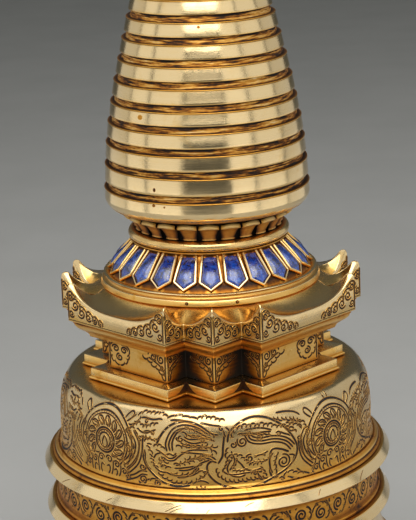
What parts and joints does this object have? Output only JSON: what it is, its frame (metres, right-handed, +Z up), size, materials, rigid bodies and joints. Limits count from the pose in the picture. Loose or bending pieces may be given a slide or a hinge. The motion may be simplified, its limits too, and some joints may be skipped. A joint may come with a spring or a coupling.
{
  "type": "reliquary stupa",
  "caption": "Gilt reliquary stupa with an engraved drum, horned box with stepped corners, lapis petal collar, ringed spire and crown, on a round double lotus base",
  "frame": {"origin": "centre of the flat underside, on the axis of the spire", "axes": "+Z up along the spire, -Y towards the stepped corner that faces the camera in the picture, +X to the right of it"},
  "size_m": [0.21, 0.21, 0.4451],
  "materials": {
    "pale_gilt": "polished",
    "warm_gilt": "satin",
    "lapis_inlay": "gloss",
    "copper_plate": "satin"
  },
  "bodies": {
    "root": {"base_rim": "pale_gilt", "base_top_moulding": "pale_gilt", "bell_skirt": "pale_gilt", "body_drum": "pale_gilt", "collar_frame": "pale_gilt", "collar_torus": "warm_gilt", "crescent_moon": "warm_gilt", "crown_lotus": "warm_gilt", "drum_fillets": "warm_gilt", "eaves_moulding": "warm_gilt", "eaves_roof": "pale_gilt", "engraved_band": "warm_gilt", "foot_plate": "copper_plate", "harmika_neck": "warm_gilt", "harmika_plinth": "pale_gilt", "jewel_finial": "warm_gilt", "lapis_petals": "lapis_inlay", "lotus_waist": "warm_gilt", "lower_band_ring": "pale_gilt", "lower_beading": "pale_gilt", "lower_lotus": "warm_gilt", "parasol": "pale_gilt", "roof_boss": "pale_gilt", "spire_core": "warm_gilt", "spire_lotus": "warm_gilt", "spire_ring_01": "pale_gilt", "spire_ring_02": "pale_gilt", "spire_ring_03": "pale_gilt", "spire_ring_04": "pale_gilt", "spire_ring_05": "pale_gilt", "spire_ring_06": "pale_gilt", "spire_ring_07": "pale_gilt", "spire_ring_08": "pale_gilt", "spire_ring_09": "pale_gilt", "spire_ring_10": "pale_gilt", "spire_ring_11": "pale_gilt", "spire_ring_12": "pale_gilt", "spire_ring_13": "pale_gilt", "sun_disc": "pale_gilt", "upper_band_ring": "pale_gilt", "upper_beading": "pale_gilt", "upper_lotus": "warm_gilt"}
  },
  "joints": []
}
